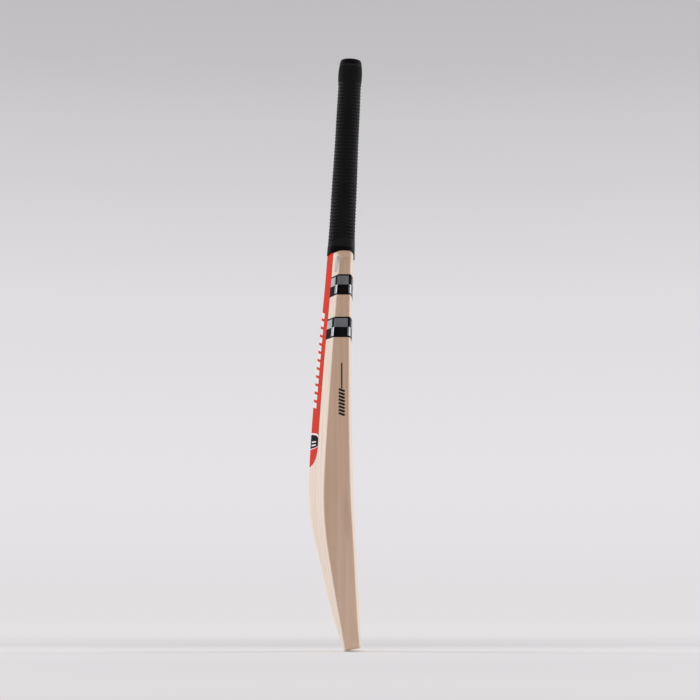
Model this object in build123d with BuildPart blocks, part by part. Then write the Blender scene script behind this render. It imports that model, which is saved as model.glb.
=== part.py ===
"""Short-handle cricket bat, in millimetres.

Frame: the origin is the middle of the flat toe face. +Z runs up the bat, X runs across its
width, -Y is out of the hitting face and +Y is out of the ridged back. The handle leans
towards the face, so the handle parts are built on their own tilted plane.
"""

from build123d import *
import os

# ---------------------------------------------------------------- driving dimensions
blade_width = 108.0
blade_top = 576.0  # height of the blade's neck, where the bare handle begins
face_corner = 3.0  # how far the rounding of the face's long edges reaches in
back_corner = 2.2  # the same for the crisper corner between edge and back
ridge_half = 7.0  # half the width of the rounded ridge
ridge_drop = 0.16  # fall of the ridge's flank, as a part of the back's whole fall
cheek_reach = 15.0  # how far the back runs on in the direction it has at its corner
cheek_ease = 0.8  # how steep it is there, next to a straight line from corner to ridge
flank_reach = 14.0  # the same two beside the ridge
flank_ease = 1.12

toe_slope = 11.0  # degrees: the toe rises from the back to the face
toe_flat_half = 22.0
toe_rise = 2.0  # how much the toe curves up from its flat middle to its corners
toe_corner = 8.0
toe_corner_top = 12.0  # height at which the toe's corners have run into the edges

shoulder_corner_height = 555.0  # where the edge and the shoulder would meet if sharp
neck_corner_height = 565.3  # where the shoulder and the neck would meet if sharp
neck_half = 17.0
shoulder_radius = 28.0
neck_radius = 4.0

neck_y = 16.9
neck_fullness = 0.66  # of the neck's oval: squarer than an ellipse

splice_tip = 428.0  # height of the point of the V splice
splice_tip_half = 1.5
splice_half = 15.5

handle_lean = 2.9  # degrees
handle_base_y = 16.8
handle_base_height = 577.0
handle_length = 270.0  # from the handle's base plane to its bare end
cane_half = 4.7  # half the width of the middle column of canes
spring_thickness = 1.3
spring_pitch = 8.0  # from one rubber spring to the next

twine_thickness = 0.7
twine_start = 2.0
twine_end = 266.0

grip_opening = 10.5  # radius of the grip's open top

sticker_thickness = 0.2
label_half = 26.0
label_end_height = 281.5  # centre of the back label's round lower end
label_top = 563.0
band_height = 29.0
upper_band_base = 495.0
lower_band_base = 434.5
grade_height = 540.0
grade_across = 43.5
grade_half_width = 7.0
grade_half_height = 12.0
mark_base = 326.0  # height of the lowest of the bars printed on each edge
mark_y = 16.0
mark_count = 8
mark_pitch = 4.8
mark_bar = 3.0
mark_width = 9.0
mark_slant = 20.0  # degrees
mark_rule_width = 1.8
mark_rule_length = 36.0

# back ridge, face, edge's back corner and edge's front corner (all in Y), at even steps of height
station_base = -58.0
station_step = 44.0
blade_stations = [
    (-1.3, -17.0, 1.8, -15.5),
    (11.0, -13.0, 9.4, -11.0),
    (23.3, -9.7, 17.0, -5.4),
    (35.3, -7.5, 25.2, -2.6),
    (45.5, -5.5, 32.4, 0.0),
    (56.2, -3.4, 38.6, 2.5),
    (62.0, -1.2, 41.1, 5.6),
    (61.9, 0.1, 40.1, 7.2),
    (59.7, 1.0, 37.7, 7.9),
    (56.6, 1.7, 34.9, 8.1),
    (53.0, 1.9, 32.0, 8.0),
    (49.0, 1.9, 28.9, 7.7),
    (44.4, 1.4, 25.6, 6.8),
    (40.2, 0.5, 22.2, 5.7),
    (36.6, -0.6, 19.0, 5.2),
    (33.4, -1.6, 16.0, 5.0),
]

# half width and half depth of the oval that the shoulders are rounded down to, in even steps
neck_base = 530.5
neck_step = 8.0
neck_stations = [
    (90.0, 62.0),
    (74.0, 50.0),
    (58.0, 38.0),
    (44.0, 27.0),
    (29.0, 15.8),
    (17.8, 16.4),
    (16.4, 17.0),
]

# half width, half depth and fullness along the handle, each list in even steps
ellipse = 0.5523  # the fullness that makes an oval an ellipse
core_base = -9.0
core_step = 70.0
core_stations = [
    (16.0, 16.8, 0.62),
    (14.6, 15.4, ellipse),
    (13.9, 14.4, ellipse),
    (13.5, 13.8, ellipse),
    (13.6, 13.9, ellipse),
]
grip_base = -34.0  # the skirt's rough lower end, before its rim is trimmed
grip_step = 32.0
grip_stations = [
    (19.8, 20.2, 0.74),
    (18.8, 19.4, 0.66),
    (17.6, 18.5, 0.58),
    (17.3, 18.1, ellipse),
    (17.0, 17.7, ellipse),
    (16.7, 17.2, ellipse),
    (16.5, 16.8, ellipse),
    (16.35, 16.6, ellipse),
    (16.1, 16.25, ellipse),
]
knob_base = 221.0
knob_step = 8.5
knob_stations = [
    (16.1, 16.25, ellipse),
    (16.15, 16.3, ellipse),
    (16.7, 16.85, ellipse),
    (17.25, 17.45, ellipse),
    (17.2, 17.4, ellipse),
    (16.2, 16.4, ellipse),
    (14.4, 14.6, ellipse),
]

# height and Y of the grip's rim, from the back over the side to the face
rim_points = [
    (48.0, 559.4),
    (36.0, 560.4),
    (28.5, 561.4),
    (21.3, 563.7),
    (13.6, 565.0),
    (5.7, 564.6),
    (0.5, 561.5),
    (-1.6, 554.0),
    (-3.2, 551.5),
    (-14.0, 551.0),
]

handle_plane = Plane(
    origin=(0, handle_base_y, handle_base_height),
    x_dir=(1, 0, 0),
    z_dir=Vector(0, 0, 1).rotate(Axis.X, handle_lean),
)
toe_plane = Plane(
    origin=(0, 0, 0),
    x_dir=(1, 0, 0),
    z_dir=Vector(0, -1, 0).rotate(Axis.X, -toe_slope),
)
front_plane = Plane.XZ  # looks at the hitting face, so its own y is the height
back_plane = front_plane.offset(-handle_base_y)  # the same, midway between face and back
side_plane = Plane.YZ
half = blade_width / 2
reach = 100  # from the middle plane to well outside the bat
clear = 5  # margin of a cutting shape beyond the blade's edges
handle_low = -200  # from below the splice to above the handle, along the handle's axis
handle_span = 600
above_all = 900  # a height above the whole bat
os.makedirs("parts", exist_ok=True)


def finish(piece, name):
    """Name a finished piece and write it to its own file."""
    piece.part.label = name
    export_step(piece.part, f"parts/{name}.step")


def blade_outline(ridge, face, edge_back, edge_front, grow):
    """One level outline of the blade: crowned face, square edges and a ridged back."""
    side = half + grow
    front = edge_front - grow / 2
    back = edge_back + grow
    low = face - grow
    top = ridge + grow
    crown = (front - low) / 2
    fall = top - back
    slope = fall / side
    face_end = side - face_corner
    cheek = (side - back_corner, back + cheek_ease * slope * back_corner)
    flank = (ridge_half, top - ridge_drop * fall)
    with BuildSketch() as outline:
        with BuildLine():
            Bezier(
                (0, low),
                (face_end / 3, low),
                (2 * face_end / 3, low + crown / 3),
                (face_end, low + crown),
            )
            Bezier(
                (face_end, low + crown),
                (side - 0.4, low + 1.15 * crown),
                (side, front),
            )
            Line((side, front), (side, back - back_corner / 2))
            Bezier(
                (side, back - back_corner / 2),
                (side, back + 0.2 * slope * back_corner),
                cheek,
            )
            Bezier(
                cheek,
                (cheek[0] - cheek_reach, cheek[1] + cheek_ease * slope * cheek_reach),
                (flank[0] + flank_reach, flank[1] - flank_ease * slope * flank_reach),
                flank,
            )
            Bezier(flank, (ridge_half / 2, top), (0, top))
            mirror(about=Plane.YZ)
        make_face()
    return outline.sketch


def oval_outline(half_width, half_depth, fullness):
    """An oval of four curves, which is an ellipse or something squarer."""
    with BuildSketch() as outline:
        with BuildLine():
            Bezier(
                (half_width, 0),
                (half_width, fullness * half_depth),
                (fullness * half_width, half_depth),
                (0, half_depth),
            )
            mirror(about=Plane.YZ)
            mirror(about=Plane.XZ)
        make_face()
    return outline.sketch


def blade_body(grow=0.0):
    """The blade without its toe, shoulders and splice, or the outside of a skin on it."""
    with BuildPart() as body:
        for index, (ridge, face, edge_back, edge_front) in enumerate(blade_stations):
            with BuildSketch(Plane.XY.offset(station_base + index * station_step)):
                add(blade_outline(ridge, face, edge_back, edge_front, grow))
        loft()
    return body.part


def handle_body(stations, base, step, wider=0.0):
    """A bar of ovals along the handle's axis, each made wider all round by the same amount."""
    with BuildPart() as body:
        for index, (half_width, half_depth, fullness) in enumerate(stations):
            with BuildSketch(handle_plane.offset(base + index * step)):
                add(oval_outline(half_width + wider, half_depth + wider, fullness))
        loft()
    return body.part


# ---------------------------------------------------------------- forms that pieces are cut from
with BuildPart() as neck_oval:
    for index, (half_width, half_depth) in enumerate(neck_stations):
        with BuildSketch(Plane((0, neck_y, neck_base + index * neck_step))):
            add(oval_outline(half_width, half_depth, neck_fullness))
    loft()

with BuildPart() as neck_waste:
    with BuildSketch(Plane.XY.offset(neck_base)):
        Rectangle(blade_width + 2 * clear, 2 * reach)
    extrude(amount=(len(neck_stations) - 1) * neck_step)
    add(neck_oval.part, mode=Mode.SUBTRACT)

with BuildPart() as blade_form:
    add(blade_body())
    # shoulders, seen from the front
    with BuildSketch(front_plane):
        with BuildLine():
            FilletPolyline(
                (half + 1, -reach),
                (half + 1, shoulder_corner_height),
                (neck_half, neck_corner_height),
                (neck_half, blade_top),
                radius=[shoulder_radius, neck_radius],
            )
            Line((neck_half, blade_top), (0, blade_top))
            Line((0, -reach), (half + 1, -reach))
            mirror(about=Plane.YZ)
        make_face()
    extrude(amount=reach, both=True, mode=Mode.INTERSECT)
    add(neck_waste.part, mode=Mode.SUBTRACT)
    # toe: flat in the middle, and curving up to its corners
    with BuildSketch(toe_plane):
        with BuildLine():
            bottom = Line((0, 0), (toe_flat_half, 0))
            belly = TangentArc(bottom @ 1, (half - toe_corner, toe_rise), tangent=(1, 0))
            corner = Bezier(
                belly @ 1,
                (half - 3, toe_rise + 0.8),
                (half - 0.2, toe_rise + 3),
                (half + 0.5, toe_corner_top),
            )
            Polyline(corner @ 1, (half + clear, toe_corner_top), (half + clear, -reach), (0, -reach))
            mirror(about=Plane.YZ)
        make_face()
    extrude(amount=reach, both=True, mode=Mode.SUBTRACT)

with BuildPart() as splice_wedge:
    with BuildSketch(front_plane):
        with BuildLine():
            Polyline(
                (0, splice_tip),
                (splice_tip_half, splice_tip),
                (splice_half, blade_top),
                (0, blade_top),
            )
            mirror(about=Plane.YZ)
        make_face()
    extrude(amount=reach, both=True)

with BuildPart() as handle_form:
    add(handle_body(core_stations, core_base, core_step))
    split(bisect_by=Plane.XY.offset(blade_top), keep=Keep.TOP)
    with BuildPart(mode=Mode.PRIVATE) as splice_tongue:
        add(blade_form.part)
        add(splice_wedge.part, mode=Mode.INTERSECT)
    add(splice_tongue.part)
    # bare end, square to the handle
    split(bisect_by=handle_plane.offset(handle_length), keep=Keep.BOTTOM)

# ---------------------------------------------------------------- willow blade
with BuildPart() as blade:
    add(blade_form.part)
    add(splice_wedge.part, mode=Mode.SUBTRACT)
finish(blade, "blade")

# ---------------------------------------------------------------- laminated cane handle
spring_middles = {"face": -spring_pitch, "middle": 0.0, "back": spring_pitch}
for side, middle in spring_middles.items():
    with BuildPart() as spring:
        with BuildSketch(handle_plane.offset(handle_low)):
            with Locations((0, middle)):
                Rectangle(2 * reach, spring_thickness)
        extrude(amount=handle_span)
        add(handle_form.part, mode=Mode.INTERSECT)
    finish(spring, f"rubber_spring_{side}")

inner = spring_pitch - spring_thickness  # thickness of an inner layer of cane
outer_face = spring_pitch + spring_thickness / 2
layers = {
    "face": (-reach, -outer_face),
    "inner_face": (-spring_thickness / 2 - inner, -spring_thickness / 2),
    "inner_back": (spring_thickness / 2, spring_thickness / 2 + inner),
    "back": (outer_face, reach),
}
columns = {
    "left": (-reach, -cane_half),
    "centre": (-cane_half, cane_half),
    "right": (cane_half, reach),
}
for layer, (near, far) in layers.items():
    for column, (left, right) in columns.items():
        with BuildPart() as cane:
            with BuildSketch(handle_plane.offset(handle_low)):
                with Locations(((left + right) / 2, (near + far) / 2)):
                    Rectangle(right - left, far - near)
            extrude(amount=handle_span)
            add(handle_form.part, mode=Mode.INTERSECT)
        finish(cane, f"cane_{layer}_{column}")

# ---------------------------------------------------------------- twine binding
with BuildPart() as twine:
    add(handle_body(core_stations, core_base, core_step, twine_thickness))
    split(bisect_by=handle_plane.offset(twine_start), keep=Keep.TOP)
    split(bisect_by=handle_plane.offset(twine_end), keep=Keep.BOTTOM)
    add(handle_form.part, mode=Mode.SUBTRACT)
finish(twine, "twine_binding")

# ---------------------------------------------------------------- stickers on the blade
skin_form = blade_body(sticker_thickness)


def sticker(prism):
    """The thin sticker that a prism cuts out of the skin round the blade."""
    with BuildPart() as piece:
        add(prism.part)
        add(skin_form, mode=Mode.INTERSECT)
        add(blade_form.part, mode=Mode.SUBTRACT)
    return piece


with BuildPart() as label_prism:
    with BuildSketch(back_plane):
        with Locations((0, label_end_height)):
            Circle(label_half)
            Rectangle(2 * label_half, label_top - label_end_height, align=(Align.CENTER, Align.MIN))
    extrude(amount=-reach)
back_label = sticker(label_prism)
finish(back_label, "back_label")

for place, base in (("upper", upper_band_base), ("lower", lower_band_base)):
    with BuildPart() as band_prism:
        with BuildSketch(front_plane):
            with Locations((0, base)):
                Rectangle(blade_width + 2 * clear, band_height, align=(Align.CENTER, Align.MIN))
        extrude(amount=reach, both=True)
        # the band stops at the back label's two borders
        with BuildSketch(back_plane):
            with Locations((0, base)):
                Rectangle(2 * label_half, band_height, align=(Align.CENTER, Align.MIN))
        extrude(amount=-reach, mode=Mode.SUBTRACT)
    finish(sticker(band_prism), f"edge_band_{place}")

with BuildPart() as grade_prism:
    with BuildSketch(back_plane):
        with Locations((-grade_across, grade_height)):
            Ellipse(grade_half_width, grade_half_height)
    extrude(amount=-reach)
finish(sticker(grade_prism), "grade_label")

for side, outward in (("left", -reach), ("right", reach)):
    with BuildPart() as mark_prism:
        with BuildSketch(side_plane):
            with Locations((mark_y, mark_base)):
                with Locations((0, (mark_count - 0.5) * mark_pitch + mark_rule_length / 2)):
                    Rectangle(mark_rule_width, mark_rule_length)
                with Locations([(0, index * mark_pitch) for index in range(mark_count)]):
                    Rectangle(mark_width, mark_bar, rotation=mark_slant)
        extrude(amount=outward)
    finish(sticker(mark_prism), f"edge_mark_{side}")

# ---------------------------------------------------------------- rubber grip
with BuildPart() as grip:
    add(handle_body(grip_stations, grip_base, grip_step))
    add(handle_body(knob_stations, knob_base, knob_step))
    # the skirt's rim, which dips over the face and the back
    with BuildSketch(side_plane):
        with BuildLine():
            rim = Spline(rim_points)
            Polyline(rim @ 1, (rim_points[-1][0], above_all), (rim_points[0][0], above_all), rim @ 0)
        make_face()
    extrude(amount=reach, both=True, mode=Mode.INTERSECT)
    # the open top, where the ends of the canes show
    with BuildSketch(handle_plane.offset(handle_length)):
        Circle(grip_opening)
    extrude(amount=reach, mode=Mode.SUBTRACT)
    for inside in (handle_form, twine, blade_form, back_label):
        add(inside.part, mode=Mode.SUBTRACT)
finish(grip, "grip")
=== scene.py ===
"""A cricket bat standing on its toe in a pale studio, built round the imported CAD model.

The bat's shapes are worked out in millimetres in the model's own frame (+Z up the bat, X across
its width, -Y out of the hitting face) and turned into metres when each mesh is made.
"""

import math

import bmesh
import bpy
import numpy as np
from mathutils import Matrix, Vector
from mathutils.bvhtree import BVHTree


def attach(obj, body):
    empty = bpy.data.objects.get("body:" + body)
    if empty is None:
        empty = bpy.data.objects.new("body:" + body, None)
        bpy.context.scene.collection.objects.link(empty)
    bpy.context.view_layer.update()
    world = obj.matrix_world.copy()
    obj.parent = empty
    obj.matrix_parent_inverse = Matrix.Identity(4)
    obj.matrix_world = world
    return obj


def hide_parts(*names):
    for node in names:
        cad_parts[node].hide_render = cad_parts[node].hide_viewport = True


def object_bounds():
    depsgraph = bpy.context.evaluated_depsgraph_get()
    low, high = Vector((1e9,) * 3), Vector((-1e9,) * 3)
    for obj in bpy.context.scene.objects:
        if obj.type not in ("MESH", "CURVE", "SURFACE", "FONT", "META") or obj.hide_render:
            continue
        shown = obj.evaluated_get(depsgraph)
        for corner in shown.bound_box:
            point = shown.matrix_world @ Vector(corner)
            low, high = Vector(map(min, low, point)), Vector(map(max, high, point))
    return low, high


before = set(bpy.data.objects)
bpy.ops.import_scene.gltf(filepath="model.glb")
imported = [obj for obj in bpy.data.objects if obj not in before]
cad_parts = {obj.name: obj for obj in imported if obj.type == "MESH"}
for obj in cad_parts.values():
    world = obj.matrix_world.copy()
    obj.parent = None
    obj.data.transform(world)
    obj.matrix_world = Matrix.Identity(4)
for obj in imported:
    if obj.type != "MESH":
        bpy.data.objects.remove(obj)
cad_low, cad_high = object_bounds()
MM = 0.001


# ------------------------------------------------------------------ small tools
def smooth(low, high, value):
    """0 below low, 1 above high, and an even S between them; low may be the larger."""
    t = np.clip((np.asarray(value, float) - low) / (high - low), 0, 1)
    return t * t * (3 - 2 * t)


def mix(a, b, t):
    return a + (b - a) * t


def spline(xs, ys):
    """The natural cubic spline through some points, straight beyond its ends."""
    xs, ys = np.asarray(xs, float), np.asarray(ys, float)
    n, gap = len(xs), np.diff(xs)
    rows, right = np.eye(n), np.zeros(n)
    for i in range(1, n - 1):
        rows[i, i - 1 : i + 2] = gap[i - 1], 2 * (gap[i - 1] + gap[i]), gap[i]
        right[i] = 6 * ((ys[i + 1] - ys[i]) / gap[i] - (ys[i] - ys[i - 1]) / gap[i - 1])
    bend = np.linalg.solve(rows, right)
    first = (ys[1] - ys[0]) / gap[0] - gap[0] * bend[1] / 6
    last = (ys[-1] - ys[-2]) / gap[-1] + gap[-1] * bend[-2] / 6

    def value(x):
        x = np.asarray(x, float)
        inside = np.clip(x, xs[0], xs[-1])
        i = np.clip(np.searchsorted(xs, inside) - 1, 0, n - 2)
        a, b, h = xs[i + 1] - inside, inside - xs[i], gap[i]
        y = (bend[i] * a**3 + bend[i + 1] * b**3) / (6 * h)
        y += (ys[i] / h - bend[i] * h / 6) * a + (ys[i + 1] / h - bend[i + 1] * h / 6) * b
        return y + np.minimum(x - xs[0], 0) * first + np.maximum(x - xs[-1], 0) * last

    return value


class Shell:
    """Points in millimetres and faces, gathered for one mesh."""

    def __init__(self):
        self.points = []
        self.faces = []
        self.kinds = []

    def add_points(self, points):
        """Adds an array of points and returns their numbers in the array's shape."""
        points = np.asarray(points, float)
        first = sum(len(p) for p in self.points)
        self.points.append(points.reshape(-1, 3))
        return first + np.arange(points.size // 3).reshape(points.shape[:-1])

    def add_grid(self, numbers, kind=0, closed=False):
        """Quads over a grid of point numbers, closed round its second direction if asked."""
        rows, columns = numbers.shape
        for j in range(rows - 1):
            for i in range(columns if closed else columns - 1):
                k = (i + 1) % columns
                corners = (numbers[j, i], numbers[j, k], numbers[j + 1, k], numbers[j + 1, i])
                self.faces.append(tuple(dict.fromkeys(int(c) for c in corners)))
                self.kinds.append(kind if isinstance(kind, int) else int(kind[j, i]))

    def make(self, name, materials, body="root"):
        """The finished object, riding on its body, with smooth faces."""
        mesh = bpy.data.meshes.new(name)
        points = np.concatenate(self.points) * MM
        mesh.from_pydata(points.tolist(), [], self.faces)
        for material in materials:
            mesh.materials.append(material)
        mesh.polygons.foreach_set("material_index", self.kinds)
        mesh.polygons.foreach_set("use_smooth", [True] * len(self.faces))
        work = bmesh.new()
        work.from_mesh(mesh)
        bmesh.ops.recalc_face_normals(work, faces=work.faces)
        work.to_mesh(mesh)
        work.free()
        piece = bpy.data.objects.new(name, mesh)
        bpy.context.scene.collection.objects.link(piece)
        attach(piece, body)
        return piece


# ------------------------------------------------------------------ camera
CAMERA_DISTANCE = 2.8
CAMERA_HEIGHT = 0.060  # above the floor
CAMERA_ACROSS = 0.0044
CAMERA_PITCH = 7.446  # degrees above level
floor_level = cad_low.z

camera_data = bpy.data.cameras.new("camera")
camera_data.lens = 101.5
camera_data.sensor_width = 36.0
camera_data.clip_end = 60.0
camera = bpy.data.objects.new("camera", camera_data)
camera.location = (-CAMERA_DISTANCE, CAMERA_ACROSS, floor_level + CAMERA_HEIGHT)
camera.rotation_euler = (math.radians(90 + CAMERA_PITCH), 0, math.radians(-90))
bpy.context.scene.collection.objects.link(camera)
bpy.context.scene.camera = camera
bpy.context.scene.view_settings.view_transform = "Standard"


# ------------------------------------------------------------------ the blade's surfaces
HALF = 54.0
TOE_SLOPE = math.tan(math.radians(11.0))
FACE_CORNER = 3.0
BACK_IN, BACK_ROUND = 2.2, 1.7  # how far the back corner's rounding reaches across and in
FACE_END = HALF - FACE_CORNER
RIDGE_ROUND = 0.075  # radius of the ridge, as a part of the half width
SPLICE_TIP, SPLICE_TIP_HALF = 428.0, 1.5
BLADE_TOP, SPLICE_HALF = 576.0, 15.5

wood_nodes = [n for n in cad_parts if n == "blade" or n.startswith(("cane", "rubber"))]


def search_tree(pieces):
    """One tree for ray casts over the meshes of some objects."""
    points, faces = [], []
    for piece in pieces:
        first = len(points)
        points += [v.co.copy() for v in piece.data.vertices]
        faces += [[first + i for i in p.vertices] for p in piece.data.polygons]
    return BVHTree.FromPolygons(points, faces)


wood = search_tree([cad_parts[n] for n in wood_nodes])


def measure(x, z, from_back):
    """Y of the CAD bat's wood at one place across and up, on its face or its back."""
    side = 0.2 if from_back else -0.2
    hit = wood.ray_cast(Vector((x * MM, side, z * MM)), Vector((0, -side, 0)))
    return hit[0].y / MM


stations = np.array([7.0, 30, 60, 90, 120, 150, 180, 210, 240, 270, 310, 350, 390, 430, 470, 505, 540])
FACE_PROBE, BACK_PROBE = 40.0, 50.0
face_middle = spline(stations, [measure(0, z, False) for z in stations])
face_aside = spline(stations, [measure(FACE_PROBE, z, False) for z in stations])
ridge_line = spline(stations, [measure(0, z, True) for z in stations])
back_aside = spline(stations, [measure(BACK_PROBE, z, True) for z in stations])


def flank_shape(q):
    """1 on the ridge and 0 on the edge: straight flanks, a little hollow, with a round ridge."""
    q = np.abs(q)
    fall = (np.sqrt(q * q + RIDGE_ROUND**2) - RIDGE_ROUND) / (math.hypot(1, RIDGE_ROUND) - RIDGE_ROUND)
    return 1 - fall - 0.03 * np.sin(math.pi * np.clip(q, 0, 1))


def crown(z):
    """How far the face's long borders stand back from its middle."""
    return (face_aside(z) - face_middle(z)) * (FACE_END / FACE_PROBE) ** 2


def face_y(x, z):
    return np.maximum(face_middle(z) + crown(z) * (x / FACE_END) ** 2, cad_low.y / MM + 0.03)


probe_share = float(flank_shape(BACK_PROBE / HALF))


def edge_back(z):
    """Y of the sharp corner that the edge and the back would make."""
    return (back_aside(z) - ridge_line(z) * probe_share) / (1 - probe_share)


def back_y(x, z):
    low = edge_back(z)
    return low + (ridge_line(z) - low) * flank_shape(x / HALF)


def toe_tilt(t):
    """How far a level line at height t leans with the sloping toe."""
    return TOE_SLOPE * (1 - smooth(12, 75, t))


def surface_point(x, t, back, extra=0.0):
    """A point on the face or the back; t is its height before the toe's slope is put in."""
    surface = back_y if back else face_y
    z = t
    for _ in range(3):
        y = surface(x, z) + extra
        z = t - toe_tilt(t) * y
    return np.stack(np.broadcast_arrays(x, y, z), -1)


# ------------------------------------------------------------------ the grip's outside
HANDLE_LEAN = math.radians(2.9)
HANDLE_BASE = np.array([0.0, 16.8, 577.0])
handle_axis = np.array([0.0, -math.sin(HANDLE_LEAN), math.cos(HANDLE_LEAN)])
handle_back = np.array([0.0, math.cos(HANDLE_LEAN), math.sin(HANDLE_LEAN)])

# distance up the handle, half width, half depth and squareness (2 is an ellipse)
grip_shape = np.array(
    [
        (-34.0, 19.8, 20.3, 3.0),
        (-12.0, 19.2, 19.8, 2.8),
        (4.0, 18.6, 19.3, 2.5),
        (26.0, 17.9, 18.8, 2.2),
        (62.0, 17.6, 18.5, 2.0),
        (105.0, 17.2, 18.0, 2.0),
        (150.0, 16.8, 17.3, 2.0),
        (190.0, 16.6, 17.1, 2.0),
        (223.0, 16.3, 16.7, 2.0),
        (232.0, 16.4, 16.7, 2.0),
        (241.0, 17.0, 17.2, 2.0),
        (249.0, 17.3, 17.4, 2.0),
        (257.0, 17.1, 17.1, 2.0),
        (265.0, 15.9, 16.1, 2.0),
    ]
)
grip_width, grip_depth, grip_square = (spline(grip_shape[:, 0], grip_shape[:, i]) for i in (1, 2, 3))

# Y and height of the grip's rim, from the face over the side to the back
rim_curve = spline(
    [-4.0, -2.4, -0.8, 0.8, 5.7, 13.6, 21.3, 28.5, 36.0, 40.0],
    [551.5, 553.2, 558.4, 562.2, 564.6, 565.0, 563.7, 561.4, 560.4, 560.0],
)


def grip_radius(angle, s):
    """Radius of the grip's outside; angle 0 is +X and a quarter turn is the back."""
    n = grip_square(s)
    across = np.abs(np.cos(angle)) / grip_width(s)
    deep = np.abs(np.sin(angle)) / grip_depth(s)
    return (across**n + deep**n) ** (-1 / n)


def on_handle(angle, s, radius):
    """A point at a distance from the handle's axis, in the bat's frame."""
    angle, s, radius = np.broadcast_arrays(angle, s, radius)
    out = np.cos(angle)[..., None] * np.array([1.0, 0, 0]) + np.sin(angle)[..., None] * handle_back
    return HANDLE_BASE + s[..., None] * handle_axis + radius[..., None] * out


def tuck_under_grip(points):
    """Draws the wood in to lie under the grip, above the grip's rim."""
    local = points - HANDLE_BASE
    s = local @ handle_axis
    deep = local @ handle_back
    radius = np.hypot(points[..., 0], deep)
    angle = np.arctan2(deep, points[..., 0])
    room = grip_radius(angle, s) - 1.3
    share = smooth(-3.0, 1.0, points[..., 2] - rim_curve(points[..., 1]))
    drawn = mix(radius, np.minimum(radius, room), share)
    return on_handle(angle, s, drawn)


# ------------------------------------------------------------------ the blade's outline, from the front
def arc(centre, radius, start, end, count):
    angles = np.radians(np.linspace(start, end, count))
    return np.stack([centre[0] + radius * np.cos(angles), centre[1] + radius * np.sin(angles)], -1)


def bezier(points, count):
    t = np.linspace(0, 1, count)[:, None]
    a, b, c, d = (np.array(p, float) for p in points)
    return a * (1 - t) ** 3 + 3 * b * t * (1 - t) ** 2 + 3 * c * t * t * (1 - t) + d * t**3


TOE_FLAT, TOE_RISE, TOE_CORNER = 22.0, 2.0, 8.0
SHOULDER_RADIUS, NECK_RADIUS, NECK_HALF = 28.0, 4.0, 17.0
SHOULDER_CORNER, NECK_CORNER = 555.0, 565.3
belly_run = HALF - TOE_CORNER - TOE_FLAT
belly_radius = (belly_run**2 + TOE_RISE**2) / (2 * TOE_RISE)
belly_turn = math.degrees(2 * math.atan2(TOE_RISE, belly_run))
shoulder_slope = math.degrees(math.atan2(NECK_CORNER - SHOULDER_CORNER, HALF - NECK_HALF))
shoulder_turn = 90 - shoulder_slope
half_turn = math.tan(math.radians(shoulder_turn / 2))
shoulder_start = SHOULDER_CORNER - SHOULDER_RADIUS * half_turn
neck_end = NECK_CORNER + NECK_RADIUS * half_turn
corner_end = TOE_RISE + TOE_CORNER + 1.0
edge_rows = np.concatenate(
    [np.linspace(corner_end, SPLICE_TIP, 62), np.linspace(SPLICE_TIP, shoulder_start, 17)[1:]]
)

# the right half of the outline, from the middle of the toe to the neck
corner_low, corner_high = (HALF - TOE_CORNER, TOE_RISE), (HALF, corner_end)
corner = bezier([corner_low, (HALF - 3.0, TOE_RISE + 1.0), (HALF, TOE_RISE + 3.6), corner_high], 13)
pieces = [
    np.stack([np.linspace(0, TOE_FLAT, 11), np.zeros(11)], -1),
    arc((TOE_FLAT, belly_radius), belly_radius, -90, -90 + belly_turn, 11)[1:],
    corner[1:],
    np.stack([np.full(len(edge_rows), HALF), edge_rows], -1)[1:],
    arc((HALF - SHOULDER_RADIUS, shoulder_start), SHOULDER_RADIUS, 0, shoulder_turn, 18)[1:],
    arc((NECK_HALF + NECK_RADIUS, neck_end), NECK_RADIUS, 180 + shoulder_turn, 180, 10),
    np.array([(NECK_HALF, BLADE_TOP)]),
]
outline = np.concatenate(pieces)
gap = np.flatnonzero(np.linalg.norm(np.diff(outline, axis=0), axis=1) > 9)
slope_run = np.linspace(outline[gap[-1]], outline[gap[-1] + 1], 10)[1:-1]
outline = np.insert(outline, gap[-1] + 1, slope_run, axis=0)
TOE_COUNT = 11 + 10 + 6  # points from the toe's middle to the middle of its corner

tangent = np.gradient(outline, axis=0)
tangent /= np.linalg.norm(tangent, axis=1)[:, None]
inward = np.stack([-tangent[:, 1], tangent[:, 0]], -1)
inward[0] = (0, 1)


def rounding(toe, edge, shoulder, neck):
    """One corner size for each point of the outline, blended from its value in four places."""
    x, t = outline[:, 0], outline[:, 1]
    value = mix(edge, toe, 1 - smooth(4, 26, t))
    value = mix(value, shoulder, smooth(530, 558, t))
    return mix(value, neck, smooth(38, 18, x) * (t > 500))


face_in = rounding(2.4, FACE_CORNER, 4.0, 6.5)
back_in = rounding(2.4, BACK_IN, 4.5, 7.0)
face_round = rounding(2.4, crown(outline[:, 1]), 5.0, 11.0)
back_round = rounding(2.4, BACK_ROUND, 6.0, 12.0)
thickness = back_y(outline[:, 0], outline[:, 1]) - face_y(outline[:, 0], outline[:, 1])
fit_in = np.minimum(1, 0.86 * thickness / (face_round + back_round))
face_round, back_round = face_round * fit_in, back_round * fit_in

ROUND_STEPS, WALL_STEPS = 7, 5


def rim_profile():
    """Points round the right half of the outline, each row going from the face to the back."""
    rows = []
    turns = np.linspace(0, math.pi / 2, ROUND_STEPS)
    for turn in turns:
        at = outline + inward * (face_in * (1 - math.sin(turn)))[:, None]
        rows.append(surface_point(at[:, 0], at[:, 1], False, face_round * (1 - math.cos(turn))))
    last = []
    for turn in turns[::-1]:
        at = outline + inward * (back_in * (1 - math.sin(turn)))[:, None]
        last.append(surface_point(at[:, 0], at[:, 1], True, -back_round * (1 - math.cos(turn))))
    for share in np.linspace(0, 1, WALL_STEPS + 1)[1:-1]:
        rows.append(mix(rows[ROUND_STEPS - 1], last[0], share))
    return np.stack(rows + last, 1)


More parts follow.
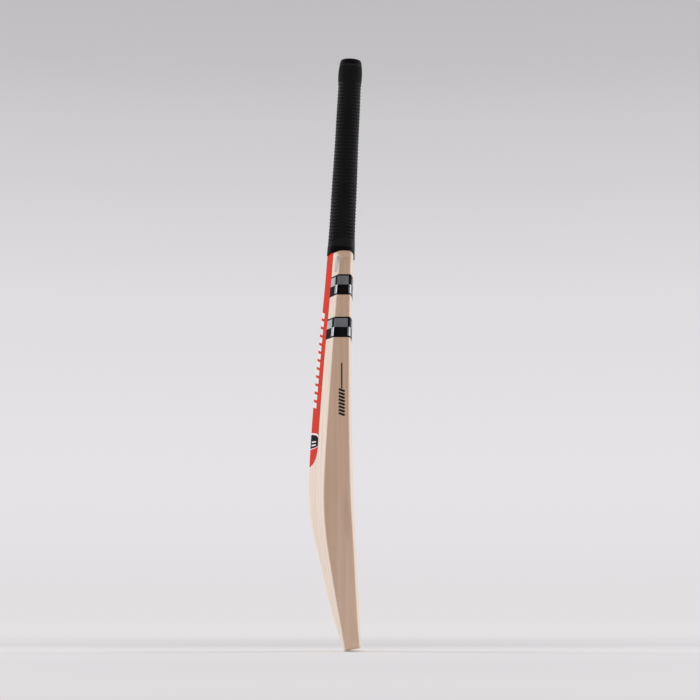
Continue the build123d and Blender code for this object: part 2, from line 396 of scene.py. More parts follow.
def splice_half(t):
    """Half the width of the V splice at a height."""
    return mix(SPLICE_TIP_HALF, SPLICE_HALF, (t - SPLICE_TIP) / (BLADE_TOP - SPLICE_TIP))


SPLICE_COLUMN = 7  # columns of the patches from the middle to the side of the splice


def patch(inset, back):
    """The face or the back inside its rounded border: rows up the blade, columns across it."""
    border = outline + inward * inset[:, None]
    bottom, side = border[:TOE_COUNT], border[TOE_COUNT - 1 :]
    natural = bottom[:, 0] / bottom[-1, 0]
    column = np.arange(TOE_COUNT)
    rows = []
    for j, (width, t) in enumerate(side):
        fade = 1 - smooth(0, 60, t)
        beside_splice = splice_half(max(t, SPLICE_TIP))
        splice = mix(natural[SPLICE_COLUMN] * width, beside_splice, smooth(290, SPLICE_TIP, t))
        outer = splice + (width - splice) * (natural - natural[SPLICE_COLUMN]) / (1 - natural[SPLICE_COLUMN])
        x = np.where(column < SPLICE_COLUMN, splice * column / SPLICE_COLUMN, outer)
        x = mix(x, natural * width, fade)
        height = t + (bottom[:, 1] - bottom[-1, 1]) * fade
        x = np.concatenate([-x[:0:-1], x])
        height = np.concatenate([height[:0:-1], height])
        rows.append(surface_point(x, height, back))
    return np.stack(rows)


def build_blade(material):
    shell = Shell()
    right = rim_profile()
    left = right[1:][::-1] * np.array([-1.0, 1, 1])
    loop = np.concatenate([left, right])  # from the left of the neck round the toe to the right
    loop = shell.add_points(tuck_under_grip(loop))
    shell.add_grid(loop.T[::-1])
    side_count = len(outline) - TOE_COUNT + 1
    middle = len(outline) - 1
    ends = {}
    for back, inset, edge in ((False, face_in, 0), (True, back_in, -1)):
        points = tuck_under_grip(patch(inset, back))
        numbers = np.zeros(points.shape[:2], int)
        inner = shell.add_points(points[1:, 1:-1])
        numbers[1:, 1:-1] = inner
        numbers[0] = loop[middle - TOE_COUNT + 1 : middle + TOE_COUNT, edge]
        numbers[:, 0] = loop[:side_count, edge][::-1]
        numbers[:, -1] = loop[-side_count:, edge]
        heights = outline[TOE_COUNT - 1 :, 1]
        tip = int(np.argmin(np.abs(heights - SPLICE_TIP)))
        centre = TOE_COUNT - 1
        left_wall, right_wall = centre - SPLICE_COLUMN, centre + SPLICE_COLUMN
        order = numbers if back else numbers[:, ::-1]
        shell.add_grid(order[: tip + 1])
        shell.add_grid(order[tip:, : left_wall + 1])
        shell.add_grid(order[tip:, right_wall:])
        ends[back] = (numbers, tip, left_wall, right_wall)
    face, tip, left_wall, right_wall = ends[False]
    rear = ends[True][0]
    for column, flip in ((left_wall, False), (right_wall, True)):
        wall = np.stack([face[tip:, column], rear[tip:, column]], -1)
        shell.add_grid(wall[:, ::-1] if flip else wall)
    floor = np.stack([face[tip, left_wall : right_wall + 1], rear[tip, left_wall : right_wall + 1]], 0)
    shell.add_grid(floor)
    # the two ends of the neck, hidden under the grip
    left_end = [*face[-1, : left_wall + 1], *rear[-1, : left_wall + 1][::-1], *loop[0, 1:-1][::-1]]
    right_end = [*face[-1, right_wall:], *loop[-1, 1:-1], *rear[-1, right_wall:][::-1]]
    shell.faces += [tuple(int(i) for i in end) for end in (left_end, right_end)]
    shell.kinds += [0, 0]
    piece = shell.make("willow_blade", [material])
    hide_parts("blade")
    return piece


# ------------------------------------------------------------------ stickers
FILM, LABEL_FILM = 0.2, 0.32
SHARP_CORNER = math.radians(50)


def film(name, materials, surface, kinds, node, thickness=FILM):
    """A thin closed sheet that follows a grid of points on the bat; kinds is one per cell."""
    along, across = np.gradient(surface, axis=0), np.gradient(surface, axis=1)
    normal = np.cross(along, across)
    normal /= np.linalg.norm(normal, axis=-1)[..., None]
    outward = surface - np.array([0, HANDLE_BASE[1], 0])
    outward[..., 2] = 0
    normal *= np.sign((normal * outward).sum(-1))[..., None]
    shell = Shell()
    top = shell.add_points(surface + normal * thickness)
    under = shell.add_points(surface - normal * 0.05)
    shell.add_grid(top, kinds)
    shell.add_grid(under, kinds)
    for row in (0, -1):
        shell.add_grid(np.stack([top[row], under[row]]), kinds[[row]])
        shell.add_grid(np.stack([top[:, row], under[:, row]]), kinds[:, row][None])
    piece = shell.make(name, materials)
    piece.data.set_sharp_from_angle(angle=SHARP_CORNER)
    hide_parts(node)
    return piece


def in_rows(borders, most):
    """Values through all the borders with no gap wider than most."""
    values = [borders[0]]
    for low, high in zip(borders, borders[1:]):
        count = max(1, math.ceil((high - low) / most))
        values += list(np.linspace(low, high, count + 1)[1:])
    return np.array(values)


def on_back(tree, x, z):
    """Points on the finished bat's back above an array of places."""
    points = []
    for px, pz in zip(x.ravel(), z.ravel()):
        hit = tree.ray_cast(Vector((px * MM, 0.2, pz * MM)), Vector((0, -1, 0)))
        points.append(hit[0] / MM)
    return np.array(points).reshape(x.shape + (3,))


# heights of the borders of the back label's printed parts, at its middle
LABEL_HALF, LABEL_LOW, LABEL_TOP = 26.0, 255.5, 562.5
LABEL_BEND = 552.0  # above this the wood turns in under the grip
CREST_RULE = 1.2
CREST_BLOCKS = ((284.5, 286.5), (289.5, 291.5))
CREST_LOW, CREST_TOP, CREST_LINE = 280.0, 301.0, 303.6
BAR_COUNT, BAR_BASE, BAR_PITCH, BAR_HEIGHT, BAR_SLANT = 12, 341.0, 11.7, 7.8, 0.25
BAR_TURN = 30  # the bars end where the label's columns have turned this far


def build_back_label(tree, materials):
    bars = [BAR_BASE + BAR_PITCH * i for i in range(BAR_COUNT)]
    blocks = [height for block in CREST_BLOCKS for height in block]
    crest = [CREST_LOW, CREST_LOW + CREST_RULE, *blocks, CREST_TOP, CREST_LINE]
    borders = [LABEL_LOW, *crest]
    for low in bars:
        borders += [low, low + BAR_HEIGHT]
    v = np.concatenate([in_rows([*borders, LABEL_BEND], 3.0), in_rows([LABEL_BEND, LABEL_TOP], 0.8)[1:]])
    turn = np.radians(np.arange(-90, 91, 2.5))
    side = np.interp(
        v,
        [LABEL_LOW, CREST_LOW, CREST_TOP, CREST_LINE, 330, LABEL_TOP],
        [LABEL_LOW + LABEL_HALF, 283.5, 294.3, 297.2, 330, LABEL_TOP - 6.5],
    )
    slant = BAR_SLANT * smooth(322, 340, v) * (1 - smooth(492, 512, v))
    x = np.broadcast_to(LABEL_HALF * np.sin(turn), (len(v), len(turn)))
    z = v[:, None] + (side - v)[:, None] * (1 - np.cos(turn)) + slant[:, None] * x
    middle_v = (v[1:] + v[:-1]) / 2
    middle_turn = np.abs(np.degrees(turn[1:] + turn[:-1]) / 2)
    kinds = np.zeros((len(v) - 1, len(turn) - 1), int)
    for j, height in enumerate(middle_v):
        if CREST_LOW < height < CREST_TOP:
            kinds[j] = 1
            small = any(low < height < top for low, top in CREST_BLOCKS)
            kinds[j, small & (middle_turn > 12) & (middle_turn < 50)] = 2
            if height < CREST_LOW + CREST_RULE:
                kinds[j] = 2
        elif CREST_TOP < height < CREST_LINE:
            kinds[j] = 2
        elif any(low < height < low + BAR_HEIGHT for low in bars):
            kinds[j, middle_turn < BAR_TURN] = 2
    surface = on_back(tree, x, z)
    # the label lies over the thin line of glue between the willow and the cane
    y = np.where(z < LABEL_BEND, np.maximum(surface[..., 1], back_y(x, z)), surface[..., 1])
    for _ in range(6):
        y[:, 1:-1] = np.maximum(y[:, 1:-1], (y[:, :-2] + y[:, 2:]) / 2)
    surface[..., 1] = y
    return film("back_label_film", materials, surface, kinds, "back_label", LABEL_FILM)


def section(z, back_xs, face_xs):
    """Half of the blade's section at a height, from the back over the right edge to the face."""
    turns = np.linspace(0, math.pi / 2, ROUND_STEPS)[1:]
    points = [(x, back_y(x, z)) for x in back_xs]
    for turn in turns:
        x = HALF - BACK_IN * (1 - math.sin(turn))
        points.append((x, back_y(x, z) - BACK_ROUND * (1 - math.cos(turn))))
    face = []
    for turn in turns:
        x = HALF - FACE_CORNER * (1 - math.sin(turn))
        face.append((x, face_y(x, z) + crown(z) * (1 - math.cos(turn))))
    walls = [mix(points[-1][1], face[-1][1], share) for share in (0.25, 0.5, 0.75)]
    points += [(HALF, y) for y in walls]
    points += face[::-1]
    points += [(x, face_y(x, z)) for x in face_xs]
    return np.array([(x, float(y)) for x, y in points])


CELL_HALF = 7.3  # half the width of a check on the face
BAND_BORDER, BAND_HEIGHT = 2.1, 29.0
band_back_xs = [LABEL_HALF, 31, 36, 41, 45, 48.5, HALF - BACK_IN]
band_face_xs = [HALF - FACE_CORNER, 46, 41, 5 * CELL_HALF, 32, 27, 3 * CELL_HALF, 17, 12, CELL_HALF, 3.6, 0.0]


def build_band(name, base, materials, node):
    heights = in_rows([0, BAND_BORDER, BAND_HEIGHT / 2, BAND_HEIGHT - BAND_BORDER, BAND_HEIGHT], 4.2)
    halves = np.array([section(base + h, band_back_xs, band_face_xs) for h in heights])
    level = np.broadcast_to((base + heights)[:, None, None], halves.shape[:2] + (1,))
    right = np.concatenate([halves, level], -1)
    left = right[:, ::-1][:, 1:] * np.array([-1.0, 1, 1])
    surface = np.concatenate([right, left], 1)
    # which check each column of cells belongs to, counted from the label
    count = right.shape[1] - 1
    back_cells, wall_start = 4, len(band_back_xs) - 1 + (ROUND_STEPS - 1) // 2
    wall_end = len(band_back_xs) - 1 + (ROUND_STEPS - 1) + 4
    face_start = len(band_back_xs) + 2 * (ROUND_STEPS - 1) + 3
    column = np.arange(count)
    check = (column >= back_cells).astype(int) + (column >= wall_start) + (column >= wall_end)
    check += (column >= face_start + 3).astype(int) + (column >= face_start + 6) + (column >= face_start + 9)
    check = np.concatenate([check, check[::-1]])
    middle = (heights[1:] + heights[:-1]) / 2
    upper = middle > BAND_HEIGHT / 2
    kinds = (check[None] + upper[:, None]) % 2
    kinds[(middle < BAND_BORDER) | (middle > BAND_HEIGHT - BAND_BORDER)] = 0
    return film(name, materials, surface, kinds, node)


GRADE_X, GRADE_Z, GRADE_HALF_WIDTH, GRADE_HALF_HEIGHT = -43.5, 540.0, 7.0, 12.0


def build_grade_label(tree, materials):
    """The oval sticker on the near shoulder, with a darker ring just inside its border."""
    ring = np.array([0.04, 0.3, 0.55, 0.8, 0.88, 1.0])
    angle = np.radians(np.arange(0, 361, 10))
    x = GRADE_X + GRADE_HALF_WIDTH * ring[:, None] * np.cos(angle)
    z = GRADE_Z + GRADE_HALF_HEIGHT * ring[:, None] * np.sin(angle)
    surface = on_back(tree, x, z)
    shell = Shell()
    lift = np.array([-0.3, 0.95, 0]) * FILM  # square to the back at this place
    top = shell.add_points((surface + lift)[:, :-1])
    under = shell.add_points((surface - lift / 3)[:, :-1])
    kinds = np.zeros((len(ring) - 1, len(angle) - 1), int)
    kinds[3] = 1
    shell.add_grid(top, kinds, closed=True)
    shell.add_grid(under, kinds, closed=True)
    shell.add_grid(np.stack([top[-1], under[-1]]), closed=True)
    for hub in (top[0], under[0]):
        shell.faces.append(tuple(int(i) for i in hub))
        shell.kinds.append(0)
    piece = shell.make("grade_label_film", materials)
    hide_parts("grade_label")
    return piece


# ------------------------------------------------------------------ the grip
RIB_PITCH, RIB_DEPTH = 5.0, 0.8
ROWS_PER_RIB, GRIP_COLUMNS = 7, 216
EDGE_ZONE = 21.0  # degrees on each side of the edge's direction that have round pips
FLANK_COLUMNS = 5
PIP_TURN = 10.0  # degrees from one pip to the next in its row
COLLAR_TOP, COLLAR_ROWS = -6.0, 18  # the smooth skirt's end, and rows above it with no pip rubber
INNER_WALL, LIP_DEPTH = 0.78, 1.2  # between the wood and the rubber, and the thickness at the rim
CAP_START = 238.0  # pips all round from here up
GRIP_STRAIGHT, GRIP_TOP = 263.5, 272.0
HANDLE_END = 270.0
core_width = spline([-9, 61, 131, 201, 271], [16.0, 14.6, 13.9, 13.5, 13.6])
core_depth = spline([-9, 61, 131, 201, 271], [16.8, 15.4, 14.4, 13.8, 13.9])


def wave(turns):
    """A flat-topped bump once a turn, highest at whole turns."""
    return np.clip(0.5 + 0.95 * np.cos(2 * math.pi * turns), 0, 1)


def grip_relief(angle, s, z):
    """1 on top of the ribs and pips, 0 in the grooves between them."""
    degrees = np.degrees(angle) % 180
    from_edge = np.minimum(degrees, 180 - degrees)
    rows = s / RIB_PITCH
    pips = np.cos(2 * math.pi * np.degrees(angle) / PIP_TURN) * np.cos(2 * math.pi * rows)
    pips = np.clip(0.3 + 1.5 * pips, 0, 1)
    place = (degrees - EDGE_ZONE) / (180 - 2 * EDGE_ZONE) * FLANK_COLUMNS
    column = np.floor(place)
    dash = np.clip(np.minimum(place - column, column + 1 - place) / 0.11, 0, 1)
    ribs = wave(rows + 0.5 * (column % 2)) * (0.25 + 0.75 * dash)
    flank = smooth(EDGE_ZONE - 1, EDGE_ZONE + 2.5, from_edge)
    relief = mix(pips, ribs, flank * (1 - smooth(CAP_START - 3, CAP_START + 3, s)))
    collar = 575 - 4 * np.sin(angle) + 7.5 * np.cos(angle) ** 2
    in_collar = 1 - smooth(collar - 0.5, collar + 1.5, z)
    at_top = smooth(261.0, 263.5, s)
    return mix(relief, 1.0, np.maximum(in_collar, at_top))


def build_grip(materials):
    angle = np.arange(GRIP_COLUMNS) * (2 * math.pi / GRIP_COLUMNS)
    s_rim = np.full(GRIP_COLUMNS, -10.0)
    for _ in range(12):
        at = on_handle(angle, s_rim, grip_radius(angle, s_rim))
        s_rim = s_rim + (rim_curve(at[:, 1]) - at[:, 2])
    rows, relief_rows = [], []
    for depth, up in ((LIP_DEPTH, 0.0), (0.7, 0.0), (0.25, 0.12), (0.0, 0.5)):
        s = s_rim + up
        rows.append(on_handle(angle, s, grip_radius(angle, s) - depth))
    for share in np.linspace(0, 1, 13)[1:-1] ** 0.9:
        s = mix(s_rim + 0.5, COLLAR_TOP, share)
        rows.append(on_handle(angle, s, grip_radius(angle, s)))
    rows_before = len(rows)
    count = round((GRIP_STRAIGHT - COLLAR_TOP) / RIB_PITCH * ROWS_PER_RIB)
    for s in np.linspace(COLLAR_TOP, GRIP_STRAIGHT, count):
        radius = grip_radius(angle, s)
        relief = grip_relief(angle, s, on_handle(angle, s, radius)[:, 2])
        rows.append(on_handle(angle, s, radius - RIB_DEPTH * (1 - relief)))
        relief_rows.append(relief)
    # over the round top, and down inside its mouth to the end of the handle
    cap = [
        (266.2, 0.977),
        (268.6, 0.947),
        (270.4, 0.916),
        (271.4, 0.880),
        (271.9, 0.835),
        (GRIP_TOP, 0.770),
        (271.95, 0.700),
        (271.6, 0.665),
        (271.0, 0.652),
        (HANDLE_END + 0.1, 0.650),
        (HANDLE_END + 0.05, 0.84),
    ]
    for s, share in cap:
        radius = grip_radius(angle, GRIP_STRAIGHT) * share
        rows.append(on_handle(angle, s, radius))
    for s in (262, 250, 220, 180, 140, 100, 60, 20, 0.5):
        oval = np.hypot(core_width(s) * np.cos(angle), core_depth(s) * np.sin(angle))
        rows.append(on_handle(angle, s, oval + INNER_WALL))
    s = mix(s_rim, 0.5, 0.45)
    rows.append(on_handle(angle, s, grip_radius(angle, s) - LIP_DEPTH))
    shell = Shell()
    numbers = shell.add_points(np.stack(rows))
    # raised cells take lighter rubber, partly wear on the peaks and partly painted highlight, which leaves
    # the grooves darker as painted shade; the pips over the edges take the lightest rubber, a stronger
    # painted highlight
    relief_rows = np.array(relief_rows)
    relief_rows = relief_rows + np.roll(relief_rows, -1, 1)
    kinds = np.zeros(numbers.shape, int)
    raised = (relief_rows[1:] + relief_rows[:-1]) / 4 > 0.5
    by_edge = np.abs(np.cos(angle)) > math.cos(math.radians(EDGE_ZONE))
    kinds[rows_before : rows_before + len(relief_rows) - 1] = np.where(raised, 1 + by_edge, 0)
    low_rows = kinds[: rows_before + COLLAR_ROWS]
    low_rows[:] = np.minimum(low_rows, 1)
    shell.add_grid(np.concatenate([numbers, numbers[:1]]), kinds, closed=True)
    piece = shell.make("rubber_grip", materials)
    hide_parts("grip")
    return piece


# ------------------------------------------------------------------ materials
class Paint:
    """A procedural material with short ways to add its nodes. Coordinates are metres on the bat."""

    def __init__(self, name, roughness=0.5, specular=0.5, metallic=0.0):
        self.material = bpy.data.materials.new(name)
        self.material.use_nodes = True
        self.tree = self.material.node_tree
        self.shader = self.tree.nodes["Principled BSDF"]
        self.shader.inputs["Roughness"].default_value = roughness
        self.shader.inputs["Specular IOR Level"].default_value = specular
        self.shader.inputs["Metallic"].default_value = metallic
        self.place = self.node("ShaderNodeTexCoord").outputs["Object"]

    def node(self, kind, **settings):
        made = self.tree.nodes.new(kind)
        for key, value in settings.items():
            setattr(made, key, value)
        return made

    def link(self, source, target):
        if hasattr(source, "links"):
            self.tree.links.new(source, target)
        else:
            target.default_value = source

    def scaled(self, x, y, z):
        made = self.node("ShaderNodeMapping")
        made.inputs["Scale"].default_value = (x, y, z)
        self.link(self.place, made.inputs["Vector"])
        return made.outputs["Vector"]

    def axis(self, letter):
        made = self.node("ShaderNodeSeparateXYZ")
        self.link(self.place, made.inputs[0])
        return made.outputs[letter]

    def math(self, operation, a, b=0.0, c=0.0):
        made = self.node("ShaderNodeMath", operation=operation)
        for i, value in enumerate((a, b, c)):
            self.link(value, made.inputs[i])
        return made.outputs[0]

    def noise(self, scale, detail=2.0, roughness=0.5):
        """Noise whose scale is blobs per metre along each axis."""
        made = self.node("ShaderNodeTexNoise")
        made.inputs["Scale"].default_value = 1.0
        made.inputs["Detail"].default_value = detail
        made.inputs["Roughness"].default_value = roughness
        self.link(self.scaled(*scale), made.inputs["Vector"])
        return made.outputs["Fac"]

    def fade(self, value, low, high, to_low=0.0, to_high=1.0):
        made = self.node("ShaderNodeMapRange", interpolation_type="SMOOTHSTEP")
        self.link(value, made.inputs["Value"])
        for name, number in (("From Min", low), ("From Max", high), ("To Min", to_low), ("To Max", to_high)):
            made.inputs[name].default_value = number
        return made.outputs["Result"]

    def ramp(self, value, stops, smooth_between=False):
        made = self.node("ShaderNodeValToRGB")
        ramp = made.color_ramp
        ramp.interpolation = "EASE" if smooth_between else "LINEAR"
        while len(ramp.elements) < len(stops):
            ramp.elements.new(0.5)
        for element, (position, colour) in zip(ramp.elements, stops):
            element.position = position
            element.color = (*colour, 1)
        self.link(value, made.inputs["Fac"])
        return made.outputs["Color"]

    def blend(self, share, a, b, kind="MIX"):
        made = self.node("ShaderNodeMix", data_type="RGBA", blend_type=kind)
        for socket, value in zip((made.inputs[0], made.inputs[6], made.inputs[7]), (share, a, b)):
            value = (*value, 1) if isinstance(value, tuple) else value
            self.link(value, socket)
        return made.outputs[2]

    def grey(self, value):
        """A grey colour as bright as a value."""
        made = self.node("ShaderNodeCombineColor")
        for i in range(3):
            self.link(value, made.inputs[i])
        return made.outputs[0]

    def finish(self, colour, bumps=(), roughness=None):
        """Joins the colour, the roughness and a stack of (height, millimetres) bumps."""
        self.link(colour, self.shader.inputs["Base Color"])
        if roughness is not None:
            self.link(roughness, self.shader.inputs["Roughness"])
        last = None
        for height, depth in bumps:
            made = self.node("ShaderNodeBump")
            made.inputs["Strength"].default_value = 1.0
            made.inputs["Distance"].default_value = depth * MM
            self.link(height, made.inputs["Height"])
            if last is not None:
                self.link(last, made.inputs["Normal"])
            last = made.outputs["Normal"]
        if last is not None:
            self.link(last, self.shader.inputs["Normal"])
        return self.material


def willow_material():
    """Pale willow: growth rings as lines up the face, broad flat-sawn figure on the edges; the edges' browner
    tone is partly painted shade, and they are painted lighter near the toe as bounced light.
    """
    p = Paint("willow", specular=0.3)
    wander = p.noise((13, 13, 2.6), 2.0)
    shift = p.math("MULTIPLY", p.math("SUBTRACT", wander, 0.5), 3.4)
    across = p.math("MULTIPLY_ADD", p.axis("X"), 84.0, shift)
    rings = p.math("MULTIPLY_ADD", p.axis("Y"), 9.0, across)
    ring = p.math("FRACT", rings)
    fibre = p.noise((900, 900, 12), 3.0, 0.6)
    streak = p.noise((190, 190, 2.4), 2.0)
    grain = p.ramp(
        ring,
        [
            (0.0, (0.845, 0.715, 0.600)),
            (0.55, (0.840, 0.705, 0.585)),
            (0.86, (0.800, 0.655, 0.525)),
            (0.93, (0.755, 0.600, 0.470)),
            (1.0, (0.845, 0.715, 0.600)),
        ],
    )
    edge_grain_and_shade = p.ramp(
        ring,
        [
            (0.0, (0.820, 0.572, 0.412)),
            (0.5, (0.790, 0.548, 0.390)),
            (0.9, (0.740, 0.503, 0.352)),
            (1.0, (0.820, 0.572, 0.412)),
        ],
        True,
    )
    # the edges, the shoulders and the toe are cut across the grain that the face shows; their browner, darker
    # tone is partly that grain and partly painted shade, chosen by which way the surface faces
    facing = p.node("ShaderNodeSeparateXYZ")
    p.link(p.node("ShaderNodeNewGeometry").outputs["Normal"], facing.inputs[0])
    on_edge = p.fade(p.math("ABSOLUTE", facing.outputs["Y"]), 0.50, 0.74, 1.0, 0.0)
    # painted light: the edges are made lighter towards the toe, standing in for light bounced up from the
    # floor
    painted_bounce_share = p.fade(p.axis("Z"), 0.02, 0.26, 0.45, 0.0)
    edge_colour = p.blend(painted_bounce_share, edge_grain_and_shade, (0.930, 0.700, 0.540))
    colour = p.blend(on_edge, grain, edge_colour)
    tone = p.fade(streak, 0.35, 0.68, 0.955, 1.03)
    fine = p.fade(fibre, 0.3, 0.7, 0.965, 1.03)
    both = p.math("MULTIPLY", tone, fine)
    colour = p.blend(1.0, colour, p.grey(both), "MULTIPLY")
    fleck = p.fade(p.noise((700, 700, 90), 1.0), 0.70, 0.78, 0.0, 0.3)
    colour = p.blend(fleck, colour, (0.60, 0.42, 0.28))
    rough = p.fade(fibre, 0.3, 0.7, 0.42, 0.56)
    return p.finish(colour, [(fibre, 0.05), (ring, 0.02)], rough)


def cane_material():
    p = Paint("cane", specular=0.3)
    fibre = p.noise((1400, 1400, 9), 3.0, 0.6)
    pores = p.fade(p.noise((2600, 2600, 30), 1.0), 0.60, 0.68)
    colour = p.ramp(fibre, [(0.3, (0.50, 0.33, 0.16)), (0.7, (0.70, 0.51, 0.28))])
    colour = p.blend(p.math("MULTIPLY", pores, 0.6), colour, (0.24, 0.14, 0.07))
    return p.finish(colour, [(fibre, 0.08)], p.fade(fibre, 0.3, 0.7, 0.5, 0.66))


def rubber_material(name, dark, light, specular):
    p = Paint(name, specular=specular)
    patchy = p.noise((60, 60, 24), 3.0)
    grit = p.noise((2200, 2200, 2200), 2.0)
    colour = p.ramp(patchy, [(0.3, dark), (0.7, light)])
    rough = p.math("ADD", p.fade(patchy, 0.3, 0.7, 0.42, 0.56), p.math("MULTIPLY", grit, 0.08))
    return p.finish(colour, [(grit, 0.04)], rough)


def vinyl_material(name, dark, light, roughness=0.3, specular=0.4, metallic=0.0):
    """Printed film: very slight unevenness of colour, gloss and surface."""
    p = Paint(name, specular=specular, metallic=metallic)
    cloud = p.noise((70, 70, 45), 2.0)
    peel = p.noise((420, 420, 420), 2.0)
    colour = p.ramp(cloud, [(0.3, dark), (0.7, light)])
    rough = p.fade(cloud, 0.3, 0.7, roughness - 0.05, roughness + 0.05)
    return p.finish(colour, [(peel, 0.03)], rough)


def twine_material():
    """Waxed thread wound in a close spiral, each turn a fine ridge."""
    p = Paint("twine_thread", specular=0.3)
    turns = p.math("FRACT", p.math("MULTIPLY", p.axis("Z"), 1 / (0.9 * MM)))
    ridge = p.math("SINE", p.math("MULTIPLY", turns, math.pi))
    fuzz = p.noise((3000, 3000, 3000), 2.0)
    # the thread is painted darker in the grooves between its turns: painted shade
    colour = p.blend(ridge, (0.38, 0.30, 0.18), (0.72, 0.62, 0.44))
    return p.finish(colour, [(ridge, 0.25), (fuzz, 0.05)], p.fade(fuzz, 0.3, 0.7, 0.6, 0.8))


def paint_nodes(names, material):
    """Gives CAD nodes a finished material."""
    for name in names:
        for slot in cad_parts[name].material_slots:
            slot.material = material


red_vinyl = vinyl_material("red_vinyl", (0.64, 0.040, 0.022), (0.70, 0.050, 0.028), 0.5, 0.03)
white_ink = vinyl_material("white_ink", (0.80, 0.79, 0.78), (0.86, 0.85, 0.84), 0.42, 0.2)
black_vinyl = vinyl_material("black_vinyl", (0.005, 0.005, 0.006), (0.009, 0.009, 0.010), 0.6, 0.03)
silver_foil = vinyl_material("silver_foil", (0.29, 0.30, 0.32), (0.36, 0.37, 0.39), 0.36, metallic=1.0)
grey_vinyl = vinyl_material("grey_vinyl", (0.30, 0.30, 0.30), (0.35, 0.35, 0.35), 0.4, 0.2)
light_grey = vinyl_material("light_grey", (0.46, 0.45, 0.44), (0.52, 0.51, 0.50), 0.4, 0.2)
edge_ink = vinyl_material("edge_ink", (0.014, 0.009, 0.006), (0.020, 0.014, 0.010), 0.5, 0.2)
cane_strips = cane_material()
# the grooves' rubber, then raised rubber and edge pips made lighter partly by wear and partly as painted
# highlight
grip_rubber = rubber_material("grip_rubber", (0.0025, 0.0025, 0.0028), (0.004, 0.004, 0.0044), 0.08)
peak_wear_and_highlight_rubber = rubber_material("peak_wear_and_highlight_rubber", (0.011, 0.011, 0.0118), (0.017, 0.017, 0.018), 0.10)
pip_wear_and_highlight_rubber = rubber_material("pip_wear_and_highlight_rubber", (0.026, 0.025, 0.027), (0.036, 0.035, 0.037), 0.05)
spring_rubber = rubber_material("spring_rubber", (0.030, 0.014, 0.011), (0.048, 0.024, 0.018), 0.3)

blade = build_blade(willow_material())
cane_nodes = [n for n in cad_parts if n.startswith("cane")]
spring_nodes = [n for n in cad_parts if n.startswith("rubber_spring")]
bat_tree = search_tree([blade] + [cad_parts[n] for n in cane_nodes + spring_nodes])
build_back_label(bat_tree, [red_vinyl, black_vinyl, white_ink])
build_grade_label(bat_tree, [light_grey, grey_vinyl])
build_band("upper_band_film", 495.0, [black_vinyl, silver_foil], "edge_band_upper")
build_band("lower_band_film", 434.5, [black_vinyl, silver_foil], "edge_band_lower")
build_grip([grip_rubber, peak_wear_and_highlight_rubber, pip_wear_and_highlight_rubber])
paint_nodes(cane_nodes, cane_strips)
paint_nodes(spring_nodes, spring_rubber)
paint_nodes(["twine_binding"], twine_material())
paint_nodes(["edge_mark_left", "edge_mark_right"], edge_ink)


# ------------------------------------------------------------------ studio
def area_light(name, place, target, width, height, power):
    data = bpy.data.lights.new(name, "AREA")
    data.shape = "RECTANGLE"
    data.size, data.size_y = width, height
    data.energy = power
    light = bpy.data.objects.new(name, data)
    light.location = place
    light.rotation_euler = (Vector(target) - Vector(place)).to_track_quat("-Z", "Y").to_euler()
    light.visible_camera = False
    bpy.context.scene.collection.objects.link(light)


area_light("left_softbox", (0.7, 1.9, 0.75), (0, 0, 0.42), 1.0, 1.7, 21)
area_light("right_softbox", (0.7, -1.9, 0.75), (0, 0, 0.42), 1.0, 1.7, 21)

STAGE_FLOOR, STAGE_BEND, STAGE_HEIGHT = 5.0, 1.2, 6.0
NEAR_GLOW, NEAR_ALBEDO = 0.12, 0.78
NEAR_START, NEAR_END = 0.2, 1.5  # metres from the bat, between reflecting floor and glowing floor
GREY_SPAN = 3.4  # metres of wall that the greys cover
# the span along X over which the floor's strip of painted shade is laid out
SHADE_STRIP_LOW, SHADE_STRIP_HIGH = -2.0, 5.0


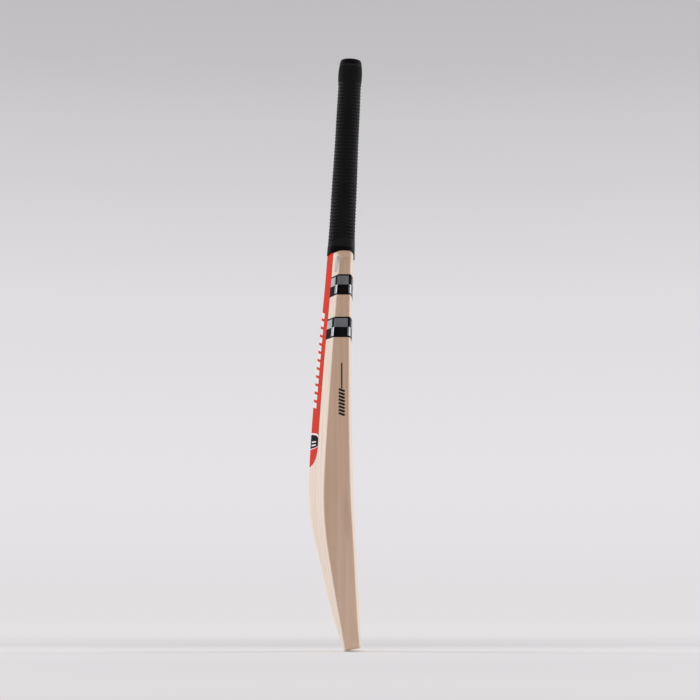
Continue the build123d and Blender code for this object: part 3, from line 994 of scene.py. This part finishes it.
def studio_material():
    """Pale paper that glows as painted light: the wall graded by height, and the floor by distance behind the
    bat.
    """
    p = Paint("studio_paper", roughness=0.95, specular=0.05)
    height = p.math("SUBTRACT", p.axis("Z"), floor_level)
    # the wall's glow is brightest about half a metre up and darker towards the top: a painted fall-off of
    # light
    greys = [(0.0, 0.755), (0.10, 0.757), (0.35, 0.775), (0.62, 0.785), (0.90, 0.775), (1.17, 0.757)]
    greys += [(1.45, 0.738), (1.73, 0.700), (2.01, 0.650), (2.30, 0.610), (2.59, 0.545), (2.88, 0.525)]
    greys += [(GREY_SPAN, 0.50)]
    wall_stops = [(h / GREY_SPAN, (g, g * 0.975, g)) for h, g in greys]
    wall = p.ramp(p.math("DIVIDE", height, GREY_SPAN), wall_stops)
    # a soft strip of painted shade lies on the glowing floor just behind the bat
    shade_strip = [(-1.6, 0.700), (-1.2, 0.728), (-0.9, 0.745), (-0.45, 0.760), (-0.25, 0.755), (-0.05, 0.730)]
    shade_strip += [(0.2, 0.708), (0.55, 0.712), (0.95, 0.727), (1.5, 0.748), (2.5, 0.757), (4.8, 0.757)]
    span = SHADE_STRIP_HIGH - SHADE_STRIP_LOW
    place = p.math("MULTIPLY_ADD", p.axis("X"), 1 / span, -SHADE_STRIP_LOW / span)
    floor = p.ramp(place, [((x - SHADE_STRIP_LOW) / span, (g, g * 0.972, g * 0.99)) for x, g in shade_strip])
    glow = p.blend(p.fade(height, 0.0, 0.35), floor, wall)
    # near the bat the floor mostly reflects, so that the bat's shadow shows
    out = p.node("ShaderNodeVectorMath", operation="LENGTH")
    p.link(p.scaled(1, 1, 0), out.inputs[0])
    distance = out.outputs["Value"]
    # the glow is dimmer towards the camera's side of the stage: painted shade
    toward_camera = p.fade(p.axis("X"), -4.5, -1.8, 0.45, 1.0)
    share = p.fade(distance, NEAR_START, NEAR_END, NEAR_GLOW, 1.0)
    p.link(glow, p.shader.inputs["Emission Color"])
    p.link(p.math("MULTIPLY", toward_camera, share), p.shader.inputs["Emission Strength"])
    near = p.fade(distance, NEAR_START, NEAR_END, NEAR_ALBEDO, 0.0)
    # the reflecting floor is also made darker behind the bat, as painted shade
    albedo = p.math("MULTIPLY", near, p.fade(p.axis("X"), 0.0, 0.5, 1.0, 0.8))
    return p.finish(p.grey(albedo))


def build_stage(material):
    profile = [(r, 0.0) for r in (0.0, 0.3, 0.8, 1.5, 2.5, 3.6, STAGE_FLOOR)]
    profile += [
        (STAGE_FLOOR + STAGE_BEND * math.sin(a), STAGE_BEND * (1 - math.cos(a)))
        for a in np.radians(np.arange(9, 91, 9))
    ]
    profile += [(STAGE_FLOOR + STAGE_BEND, h) for h in np.linspace(STAGE_BEND, STAGE_HEIGHT, 8)[1:]]
    turns, points, faces = 96, [], []
    for radius, height in profile:
        for i in range(turns):
            a = 2 * math.pi * i / turns
            points.append((radius * math.cos(a), radius * math.sin(a), floor_level + height))
    for j in range(len(profile) - 1):
        for i in range(turns):
            k = (i + 1) % turns
            faces.append((j * turns + i, j * turns + k, (j + 1) * turns + k, (j + 1) * turns + i))
    mesh = bpy.data.meshes.new("studio")
    mesh.from_pydata(points, [], faces)
    mesh.polygons.foreach_set("use_smooth", [True] * len(faces))
    mesh.materials.append(material)
    stage = bpy.data.objects.new("studio", mesh)
    bpy.context.scene.collection.objects.link(stage)


build_stage(studio_material())
world = bpy.data.worlds.new("world")
world.use_nodes = True
world.node_tree.nodes["Background"].inputs["Color"].default_value = (0.75, 0.73, 0.75, 1)
world.node_tree.nodes["Background"].inputs["Strength"].default_value = 1.0
bpy.context.scene.world = world
